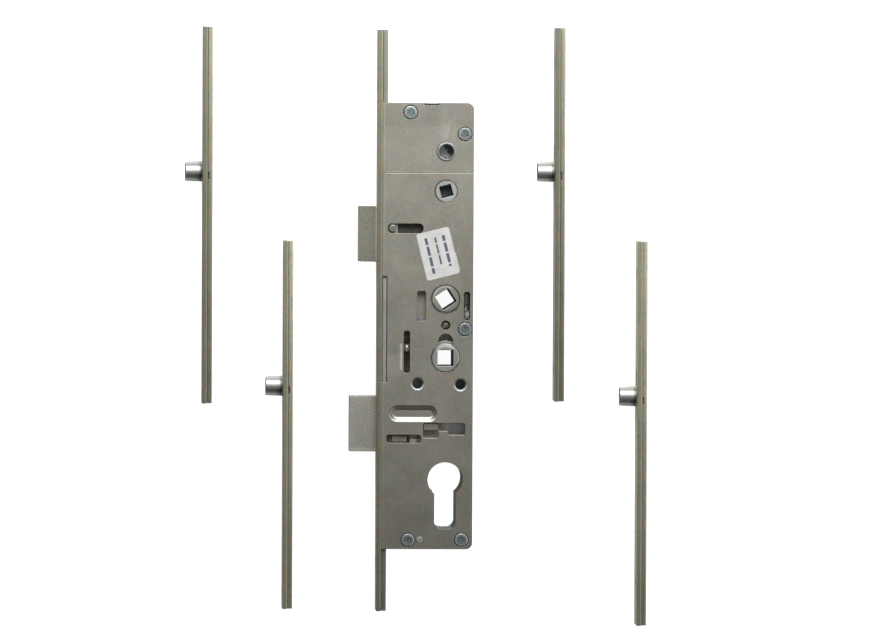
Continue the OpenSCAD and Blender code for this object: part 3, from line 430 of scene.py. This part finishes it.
def beadLight(x, y, look):
    # Painted light and shade on the bead: a band half way down its wall, lighter on the upper wall,
    # darker on the lower one.
    # Depth from the rim is the half width less the distance to the stadium's middle line. Gains
    # are those of the lower and the upper wall
    soft, foot = look["soft"] * mm, look["foot"] * mm
    past = x.math("MAXIMUM", abs(x - look["centre"][0] * mm) - look["reach"] * mm, 0.0)
    rise = y - look["centre"][1] * mm
    depth = look["half"] * mm - x.math("SQRT", past * past + rise * rise)
    low, high = look["ledge"]
    ledge = depth.step(low * mm - soft, low * mm) - depth.step(high * mm, high * mm + soft)
    wall = depth.step(0.0, soft) - depth.step(foot, foot + soft)
    upper = rise.step(-look["middle"] * mm, look["middle"] * mm)
    gains = [upper * (above - below) + below for below, above in
             (look["ledgeGain"], look["wallGain"])]
    return ledge * gains[0] + wall * gains[1]


# What all these finishes share: each noise's detail and roughness, the levels of noise between
# which one hue gives way to the next, how far clouds and streaks change the gloss, the relief's
# depth in mm, and the painted shade on upright walls, a rough dark grey
coating = {
    "mottleNoise": (3.0, 0.6), "thirdNoise": (2.0, 0.5), "cloudNoise": (4.0, 0.6),
    "streakNoise": (3.0, 0.65), "cloudScale": 55.0, "thirdShare": 0.63,
    "mottleLevels": (0.35, 0.65), "thirdLevels": (0.45, 0.75), "lightShadeTintShare": 0.8,
    "glossCloud": 0.12, "glossStreak": 0.10, "relief": 0.04, "reliefMottle": 0.5,
    "wallHeight": (0.45, 0.2), "wallRough": 0.9, "wallShine": 0.1, "gleamSoft": 0.05,
}


def platedMaterial(name, look):
    # Three hues mottled by noise, times a light that is 1 plus streaks, clouds and the finish's
    # own marks of painted light and shade, then its tints of painted light and shade. Streaks and
    # clouds also set the gloss
    material, wire = newMaterial(name)
    place = wire.node("ShaderNodeTexCoord", {}, {}, "Object")
    x, y, z = wire.node("ShaderNodeSeparateXYZ", {}, {0: place}, ("X", "Y", "Z"))
    along = wire.node("ShaderNodeMapping", {}, {"Vector": place, "Scale": (1, look["stretch"], 1)})
    smeared = wire.node("ShaderNodeMapping", {}, {"Vector": place, "Scale": (1, look["smear"], 1)})
    mottle = wire.noise(smeared, look["mottle"], *coating["mottleNoise"])
    third = wire.noise(smeared, look["mottle"] * coating["thirdShare"], *coating["thirdNoise"])
    cloud = wire.noise(place, coating["cloudScale"], *coating["cloudNoise"])
    streak = wire.noise(along, look["grain"], *coating["streakNoise"])
    light = 1 + (streak - 0.5) * look["streak"] * 2 + (cloud - 0.5) * look["cloud"] * 2
    for *shape, gain in look.get("rubs", []):
        light = light + patch(x, y, *shape) * gain
    for *shape, gain in look.get("arcs", []):
        light = light + arc(x, y, *shape) * gain
    if "bead" in look:
        light = light + beadLight(x, y, look["bead"])
    if "sink" in look:
        low, high, gain = look["sink"]
        light = light + (1 - z.step(low * mm, high * mm)) * gain
    if "tone" in look:
        low, high, lowShare, highShare = look["tone"]
        light = light * (y.step(low * mm, high * mm) * (highShare - lowShare) + lowShare)
    first, second, last = look["hues"]
    mixed = mottle.step(*coating["mottleLevels"]).tint(first, second)
    hue = third.step(*coating["thirdLevels"]).tint(mixed, last)
    colour = light.shade(hue)
    for *shape, lightShadeTint in look.get("lightShadeTints", []):
        colour = (patch(x, y, *shape) * coating["lightShadeTintShare"]).tint(colour, lightShadeTint)
    for *shape, lightShadeTint in look.get("rings", []):
        colour = (arc(x, y, *shape) * coating["lightShadeTintShare"]).tint(colour, lightShadeTint)
    gloss = (look["rough"] + (cloud - 0.5) * coating["glossCloud"]
             + (streak - 0.5) * coating["glossStreak"])
    bump = wire.node("ShaderNodeBump", {}, {
        "Strength": look["bump"], "Distance": coating["relief"] * mm,
        "Height": streak + mottle * coating["reliefMottle"]})
    surface = wire.node("ShaderNodeBsdfPrincipled", {}, {
        "Base Color": colour, "Metallic": look["metal"], "Roughness": gloss, "Normal": bump})
    if "wall" in look:
        # Painted shade: rough dark grey where the normal points neither up nor down, which is on
        # upright walls
        normal = wire.node("ShaderNodeNewGeometry", {}, {}, "Normal")
        height = wire.node("ShaderNodeSeparateXYZ", {}, {0: normal}, "Z")
        grey = look["dull"]
        wallShade = wire.node("ShaderNodeBsdfPrincipled", {}, {
            "Base Color": (grey, grey, grey, 1), "Roughness": coating["wallRough"],
            "Specular IOR Level": coating["wallShine"]})
        share = height.within(*coating["wallHeight"]) * look["wall"]
        if "gleam" in look:
            gleamPlace, gleamHalf = look["gleam"]
            share = share * (1 - (y - gleamPlace * mm).within(
                gleamHalf * mm, coating["gleamSoft"] * mm))
        surface = wire.node("ShaderNodeMixShader", {}, {0: share, 1: surface, 2: wallShade})
    surface.finish()
    return material


materials = {name: platedMaterial(name, look) for name, look in finishes.items()}
print("finishes made:", len(materials))


# Label: white paper with rows of plain dashes where such a label has its print. A row is its
# place across the label, its half height, and where it starts and ends along the label, in mm.
# The smudge is a place, a half size and a softness, each along and across the label
label = {
    "paper": (0.63, 0.63, 0.62), "shade": (0.55, 0.55, 0.53), "ink": (0.05, 0.045, 0.115),
    "inkShare": 0.9, "turn": -76, "dash": 5.6, "gap": 0.14, "gapSoft": 0.08, "rowSoft": 0.15,
    "rows": [(4.6, 0.75, -8.6, 7.6), (0.3, 0.5, -8.4, 6.0), (-4.4, 0.75, -9.2, 9.4)],
    "smudge": (0.34, 0.29, 0.25), "smudgeShare": 0.55,
    "smudgeMark": ((-1.0, 0.6), (2.0, 0.9), (1.3, 0.8)),
    "fibre": 2400.0, "crease": 160.0, "relief": 0.03, "bump": 0.25, "rough": 0.62,
}


def paperMaterial(look, box):
    # Dashes repeat along each row: what is left of a place after whole dashes is ink above the
    # gap's share. A hundred whole dashes more keep it above nought
    material, wire = newMaterial("label_paper")
    place = wire.node("ShaderNodeTexCoord", {}, {}, "Object")
    x, y = wire.node("ShaderNodeSeparateXYZ", {}, {0: place}, ("X", "Y"))
    fibre = wire.noise(place, look["fibre"], 3.0)
    crease = wire.noise(place, look["crease"], 3.0)
    colour = crease.step(0.35, 0.7).tint(look["paper"], look["shade"])
    centre = [(box[0][axis] + box[1][axis]) / 2 / mm for axis in (0, 1)]
    along, across = turned(x, y, centre, look["turn"])
    wave = wire.math("FRACT", along * (1 / (look["dash"] * mm)) + 100.0)
    dash = wave.step(look["gap"] - look["gapSoft"], look["gap"] + look["gapSoft"])
    soft = look["rowSoft"] * mm
    for middle, half, start, end in look["rows"]:
        row = (across - middle * mm).within(half * mm, soft)
        span = (along - (start + end) / 2 * mm).within((end - start) / 2 * mm, soft)
        colour = (row * span * dash * look["inkShare"]).tint(colour, look["ink"])
    smudge = fibre.step(0.35, 0.6)
    for distance, middle, half, blur in zip((along, across), *look["smudgeMark"]):
        smudge = smudge * (distance - middle * mm).within(half * mm, blur * mm)
    colour = (smudge * look["smudgeShare"]).tint(colour, look["smudge"])
    bump = wire.node("ShaderNodeBump", {}, {
        "Strength": look["bump"], "Distance": look["relief"] * mm, "Height": fibre + crease * 3})
    wire.node("ShaderNodeBsdfPrincipled", {}, {
        "Base Color": colour, "Roughness": look["rough"], "Normal": bump}).finish()
    return material


materials["label_paper"] = paperMaterial(label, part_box("label"))


# Nodes whose own finish differs a little from their slot's
paintOf = {
    "cover_upper": "cover_plate", "cover_lower": "cover_plate", "cover_screws": "screw_zinc",
    "fixing_bush": "bush_zinc", "locating_rivet": "rivet_dull", "snib_hub": "snib_cast",
    "latch_stud": "stud_zinc", "lever_hub_upper": "hub_upper_cast",
    "lever_hub_lower": "hub_lower_cast", "bolt_tail": "bolt_link", "stop_pin": "pin_brown",
    "drive_slide": "slide_link", "case_tray": "tray_plate", "latch_head": "latch_bolt",
    "deadbolt": "deadbolt_sintered", "hub_leaf_spring": "leaf_steel",
}
paintOf.update({node: f"{node}_steel" for node in tones})
paintOf.update({f"roller_{count}": f"roller_{count}_chrome" for count in (1, 2, 3, 4)})


def paint(mesh, node):
    mesh.materials.clear()
    mesh.materials.append(materials[paintOf.get(node, slotOf[node])])


def makePiece(name, mesh, node):
    # A finished piece takes the place, the body and the finish of a node
    piece = bpy.data.objects.new(name, mesh)
    bpy.context.scene.collection.objects.link(piece)
    paint(mesh, node)
    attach(piece, bodyOf[node])
    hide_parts(node)
    return piece


# Broken edges: width in mm of each node's edge, as a press, a die or a file leaves it
edges = {
    "faceplate": 0.22, "case_tray": 0.35, "cover_upper": 0.20, "cover_lower": 0.20,
    "cover_screws": 0.08, "locating_rivet": 0.12, "fixing_bush": 0.14, "hub_leaf_spring": 0.10,
    "drive_rail": 0.22, "drive_slide": 0.12, "lever_hub_upper": 0.22, "lever_hub_lower": 0.22,
    "latch_head": 0.35, "latch_tail": 0.2, "latch_stud": 0.12, "latch_lever": 0.15,
    "snib_hub": 0.24, "deadbolt": 0.32, "bolt_tail": 0.2, "bolt_pad": 0.12,
    "locking_lever": 0.15, "label": 0.03, "stop_pin": 0.06,
}
for count in (1, 2, 3, 4):
    edges[f"strip_plate_{count}"] = 0.22
    edges[f"strip_rail_{count}"] = 0.22
    edges[f"roller_pin_{count}"] = 0.10

# Edges that differ: (axis, place on it, share of the width). The seam between the covers glints
# on its lower side alone, and the covers' front edges lie close to the faceplate. The lower
# cover's edge lies one gap of 0.16 mm below the seam
ownEdges = {
    "cover_upper": [(1, seam, 0.1), (0, front, 0.3)],
    "cover_lower": [(1, seam - 0.16 * mm, 2.0), (0, front, 0.3)],
}


# Rear edges of openings that lie a little to one side of their front edges, as they do when the
# lock is looked at from its upper left: (centre, half size, highest z, shift) in mm
rearShift = {
    "lever_hub_upper": (upperHub, (5.9, 5.9), 16.0, (-0.75, -0.1)),
    "lever_hub_lower": (lowerHub, (5.9, 5.9), 16.0, (-0.75, 0.2)),
    "case_tray": ((14.9, -86.2), (14.0, 19.0), 4.0, (-0.6, 0.9)),
}


def shiftRear(mesh, centre, half, highest, shift):
    # Moves the points whose distance from the centre, each axis over its half size, is below 1
    places = np.empty(len(mesh.vertices) * 3, dtype=np.float32)
    mesh.vertices.foreach_get("co", places)
    places = places.reshape(-1, 3)
    offset = (places[:, :2] - np.array(centre) * mm) / (np.array(half) * mm)
    inside = (np.hypot(*offset.T) < 1) & (places[:, 2] < highest * mm)
    places[inside, :2] += np.array(shift) * mm
    mesh.vertices.foreach_set("co", places.ravel())


# Points nearer than weld, in mm, are joined, faces within flat degrees of each other become one,
# and an edge of more than sharp degrees is broken. An edge counts as one of the own ones where
# it is near their place, in mm, and the widest share of an edge's width is most
breaking = {"weld": 0.002, "flat": 0.5, "sharp": 16, "near": 0.05, "most": 2, "segments": 2}


def breakEdges(node, width):
    # The node's surface with flat faces joined again, each sharp edge a small round of this width
    mesh = frame["nodes"][node].data.copy()
    mesh.name = node
    if "custom_normal" in mesh.attributes:
        mesh.attributes.remove(mesh.attributes["custom_normal"])
    if node in rearShift:
        shiftRear(mesh, *rearShift[node])
    work = bmesh.new()
    work.from_mesh(mesh)
    bmesh.ops.remove_doubles(work, verts=work.verts, dist=breaking["weld"] * mm)
    bmesh.ops.dissolve_limit(work, angle_limit=math.radians(breaking["flat"]), verts=work.verts,
                             edges=work.edges, use_dissolve_boundaries=False)
    share = work.edges.layers.float.new("bevel_weight_edge")
    for edge in work.edges:
        if edge.is_manifold and edge.calc_face_angle() > math.radians(breaking["sharp"]):
            middle = (edge.verts[0].co + edge.verts[1].co) / 2
            own = [part for axis, place, part in ownEdges.get(node, [])
                   if abs(middle[axis] - place) < breaking["near"] * mm]
            edge[share] = (own[0] if own else 1) / breaking["most"]
    work.to_mesh(mesh)
    work.free()
    mesh.polygons.foreach_set("use_smooth", np.ones(len(mesh.polygons), dtype=bool))
    piece = makePiece(f"{node}_finished", mesh, node)
    bevel = piece.modifiers.new("brokenEdge", "BEVEL")
    bevel.width = breaking["most"] * width * mm
    bevel.segments = breaking["segments"]
    bevel.limit_method = "WEIGHT"
    bevel.use_clamp_overlap = False
    bevel.harden_normals = True
    return piece


for node, width in edges.items():
    breakEdges(node, width)
print("edges broken:", len(edges))


def gridFaces(rows, columns, closed):
    # Four-cornered faces between neighbours on a grid whose last column meets its first, and
    # whose last row meets its first where it is closed
    row, column = np.meshgrid(np.arange(rows if closed else rows - 1), np.arange(columns),
                              indexing="ij")
    nextRow, nextColumn = (row + 1) % rows, (column + 1) % columns
    faces = np.stack([row * columns + column, row * columns + nextColumn,
                      nextRow * columns + nextColumn, nextRow * columns + column], axis=-1)
    return faces.reshape(-1, 4).tolist()


def closedMesh(name, points, faces, weld=0):
    # A mesh whose faces all point outwards, after points nearer than weld are joined
    mesh = bpy.data.meshes.new(name)
    mesh.from_pydata(points.reshape(-1, 3).tolist(), [], faces)
    work = bmesh.new()
    work.from_mesh(mesh)
    if weld:
        bmesh.ops.remove_doubles(work, verts=work.verts, dist=weld)
    bmesh.ops.recalc_face_normals(work, faces=work.faces)
    work.to_mesh(mesh)
    work.free()
    return mesh


# Rollers: a turned barrel that flares to a thin flange at the strip, with soft corners. Its
# length and width are its node's, and the flange reaches over the pin's collar. A cut is how
# far from each corner its round starts
roller = {
    "tipRadius": 4.9, "barrelRadius": 5.12, "boreRadius": 2.55, "collarRadius": 4.35,
    "sinkRadius": 3.8, "sinkDepth": 1.15, "flare": 0.55, "flange": 0.15, "gap": 0.12,
    "cuts": (0.05, 0.05, 0.1, 0.06, 0.06, 0.25, 0.6, 0.15, 0.1, 0.1), "sides": 96,
    "weld": 0.0005,
}


def softOutline(corners, cut, count=6):
    # Each corner becomes a parabola between the points one cut away from it along its two sides
    here = np.array(corners, dtype=float)
    cut = np.array(cut, dtype=float)[:, None]
    back = np.roll(here, 1, axis=0) - here
    onward = np.roll(here, -1, axis=0) - here
    start = here + back / np.linalg.norm(back, axis=1, keepdims=True) * cut
    end = here + onward / np.linalg.norm(onward, axis=1, keepdims=True) * cut
    t = np.linspace(0, 1, count)[None, :, None]
    curve = (1 - t) ** 2 * start[:, None] + 2 * t * (1 - t) * here[:, None] + t ** 2 * end[:, None]
    return curve.reshape(-1, 2)


def turnedMesh(name, outline, centre, sides, weld):
    # A closed outline of (along, radius) turned about a line through centre that points along X:
    # across that line a point is the radius times the cosine and the sine of the angle
    along, radius = outline[:, :1], outline[:, 1:]
    angle = np.linspace(0, 2 * math.pi, sides, endpoint=False)[None, :]
    points = np.stack([centre[0] + along + 0 * angle, centre[1] + radius * np.cos(angle),
                       centre[2] + radius * np.sin(angle)], axis=-1)
    mesh = closedMesh(name, points, gridFaces(len(outline), sides, True), weld)
    mesh.polygons.foreach_set("use_smooth", np.ones(len(mesh.polygons), dtype=bool))
    return mesh


def makeRoller(node, plate, look):
    # Its outline runs from the bore at the foot round the collar, the flange, the barrel and the
    # tip into the sunk face about the bore
    low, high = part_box(node)
    centre = (0, (low[1] + high[1]) / 2, (low[2] + high[2]) / 2)
    tip, foot, radius = low[0], high[0], (high[1] - low[1]) / 2
    sink = tip + look["sinkDepth"] * mm
    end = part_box(plate)[0][0] - look["gap"] * mm
    corners = [
        (foot, look["boreRadius"] * mm), (foot, look["collarRadius"] * mm),
        (end, look["collarRadius"] * mm), (end, radius), (end - look["flange"] * mm, radius),
        (end - look["flare"] * mm, look["barrelRadius"] * mm), (tip, look["tipRadius"] * mm),
        (tip, look["sinkRadius"] * mm), (sink, look["sinkRadius"] * mm),
        (sink, look["boreRadius"] * mm),
    ]
    outline = softOutline(corners, np.array(look["cuts"]) * mm)
    mesh = turnedMesh(node, outline, centre, look["sides"], look["weld"] * mm)
    return makePiece(f"{node}_turned", mesh, node)


for count in (1, 2, 3, 4):
    makeRoller(f"roller_{count}", f"strip_plate_{count}", roller)
print("rollers turned")


# A dark bar of painted shade in the narrow gap between a plate and its rail, above the guides, a
# little higher than the rail, in mm. A wave is its length and its height
gapShade = {
    "side": 0.02, "ends": 0.2, "low": 14.7, "over": 0.5, "round": 0.06, "pitch": 1.2,
    "waves": ((9.0, 0.2), (3.7, 0.12)),
}


def gapShadeBar(name, plate, rail, lowY, highY, look):
    # A small bar with a rounded top, which rises and sinks along Y as the sum of two sine waves
    lowY, highY = lowY + look["ends"] * mm, highY - look["ends"] * mm
    plateBox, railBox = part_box(plate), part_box(rail)
    left, right = plateBox[1][0] + look["side"] * mm, railBox[0][0] - look["side"] * mm
    y = np.linspace(lowY, highY, int((highY - lowY) / (look["pitch"] * mm)) + 2)
    top = railBox[1][2] + look["over"] * mm + sum(
        height * mm * np.sin(2 * math.pi * y / (length * mm)) for length, height in look["waves"])
    middle = (left + right) / 2
    x = np.array([left, right, right, middle, left])[None, :] + 0 * y[:, None]
    z = np.stack([0 * y + look["low"] * mm, 0 * y + look["low"] * mm, top - look["round"] * mm,
                  top, top - look["round"] * mm], axis=1)
    points = np.stack([x, y[:, None] + 0 * x, z], axis=-1)
    rows, columns = points.shape[:2]
    ends = [list(range(columns)), list(range((rows - 1) * columns, rows * columns))]
    mesh = closedMesh(name, points, gridFaces(rows, columns, False) + ends)
    mesh.materials.append(materials["gap_shade_bar"])
    piece = bpy.data.objects.new(name, mesh)
    bpy.context.scene.collection.objects.link(piece)
    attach(piece, "case")


for count in (1, 2, 3, 4):
    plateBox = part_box(f"strip_plate_{count}")
    gapShadeBar(f"gap_shade_bar_{count}", f"strip_plate_{count}", f"strip_rail_{count}",
               plateBox[0][1], plateBox[1][1], gapShade)
caseBox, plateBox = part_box("case_tray"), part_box("faceplate")
gapShadeBar("gap_shade_bar_low", "faceplate", "drive_rail", plateBox[0][1], caseBox[0][1], gapShade)
gapShadeBar("gap_shade_bar_high", "faceplate", "drive_rail", caseBox[1][1], plateBox[1][1], gapShade)
print("gaps greased")


# The latch spring becomes a piece from a copy of its node's mesh. The latch's travel and the
# spring's length are read, but its shape stays as it is when the latch moves in
latchTravel = next(joint["range_m"][1] for joint in record["behaviour"]["joints"]
                   if joint["name"] == "latch_slide")
springLow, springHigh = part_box("latch_spring")
springLength = springHigh[0] - springLow[0]
spring = makePiece("latch_spring_wound", frame["nodes"]["latch_spring"].data.copy(), "latch_spring")
(springLength - latchTravel) / springLength
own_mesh(spring)


# What stays a CAD node takes its finish as it is
plain = [node for node in frame["nodes"]
         if node not in edges and node != "latch_spring" and not node.startswith("roller_")]
for node in plain:
    paint(frame["nodes"][node].data, node)
print("nodes kept:", plain)


# Light: one softbox beyond the upper end of the lock, over a white floor in a dim room. The
# room's levels of light come in over spans of a direction's X, Y or height, from -1 to 1
room = {
    "boxPlace": (0.0, 0.42, 0.50), "boxAim": (0.0, 0.0, 0.0), "boxSize": (0.60, 0.42),
    "boxPower": 4.4,
    "overhead": 0.22, "beyond": 0.62, "behind": 0.05, "right": 0.50, "left": 0.06,
    "beyondSpan": (0.0, 0.95), "behindSpan": (0.0, 0.9), "rightSpan": (0.2, 0.8),
    "leftSpan": (0.1, 0.7),
    "horizon": 0.95, "nearHorizon": 0.12, "frontHorizon": 0.5, "horizonSpan": (0.03, 0.07),
    "farSpan": (-0.3, 0.3), "frontSpan": (0.3, 0.9),
    "floorHalf": 12.0, "floorWhite": 0.93, "floorShine": 0.35, "floorPaint": 0.6,
}


def addSoftbox(look):
    lamp = bpy.data.lights.new("softbox", "AREA")
    lamp.shape = "RECTANGLE"
    lamp.size, lamp.size_y = look["boxSize"]
    lamp.energy = look["boxPower"]
    softbox = bpy.data.objects.new("softbox", lamp)
    bpy.context.scene.collection.objects.link(softbox)
    place = Vector(look["boxPlace"])
    softbox.location = place
    softbox.rotation_euler = (Vector(look["boxAim"]) - place).to_track_quat("-Z", "Y").to_euler()


def setRoom(look):
    # The room's light grows from the lock's lower end to beyond its upper end, and to the right,
    # down to a band at the horizon that is pale beyond the upper end, less so before the
    # faceplate, and dark elsewhere
    world = bpy.data.worlds.new("room")
    bpy.context.scene.world = world
    world.use_nodes = True
    world.node_tree.nodes.clear()
    wire = Wire(world.node_tree)
    direction = wire.node("ShaderNodeTexCoord", {}, {}, "Generated")
    right, ahead, height = wire.node("ShaderNodeSeparateXYZ", {}, {0: direction}, ("X", "Y", "Z"))
    behind, left = 0 - ahead, 0 - right
    rise, fall = look["beyond"] - look["overhead"], look["overhead"] - look["behind"]
    level = look["overhead"] + ahead.step(*look["beyondSpan"]) * rise
    level = level - behind.step(*look["behindSpan"]) * fall
    level = level + right.step(*look["rightSpan"]) * look["right"]
    level = level - left.step(*look["leftSpan"]) * look["left"]
    seen = wire.node("ShaderNodeLightPath", {}, {}, "Is Camera Ray")
    pale = wire.math("MAXIMUM", ahead.step(*look["farSpan"]),
                     left.step(*look["frontSpan"]) * look["frontHorizon"])
    share = wire.math("MAXIMUM", seen, pale)
    horizon = share * (look["horizon"] - look["nearHorizon"]) + look["nearHorizon"]
    level = level + (1 - height.step(*look["horizonSpan"])) * (horizon - level)
    shade = level.shade((1, 1, 1))
    wire.node("ShaderNodeBackground", {}, {"Color": shade, "Strength": 1.0}).finish()


def addFloor(look):
    # Painted board that the camera and clean reflections see as white, with the lock's shadow on it
    half = look["floorHalf"]
    mesh = bpy.data.meshes.new("floor")
    mesh.from_pydata([(-half, -half, 0), (half, -half, 0), (half, half, 0), (-half, half, 0)],
                     [], [(0, 1, 2, 3)])
    floor = bpy.data.objects.new("floor", mesh)
    bpy.context.scene.collection.objects.link(floor)
    material, wire = newMaterial("floorPaint")
    camera, glossy, clear = wire.node(
        "ShaderNodeLightPath", {}, {}, ("Is Camera Ray", "Is Glossy Ray", "Is Transmission Ray"))
    seen = wire.math("ADD", camera + glossy * look["floorShine"], clear, True)
    paint = wire.node("ShaderNodeBsdfDiffuse", {}, {
        "Color": (look["floorPaint"], look["floorPaint"], look["floorPaint"], 1)})
    glow = wire.node("ShaderNodeEmission", {}, {"Strength": seen * look["floorWhite"]})
    wire.node("ShaderNodeAddShader", {}, {0: paint, 1: glow}).finish()
    mesh.materials.append(material)


addSoftbox(room)
setRoom(room)
addFloor(room)
bpy.context.scene.view_settings.view_transform = "Standard"
print("light and floor set")
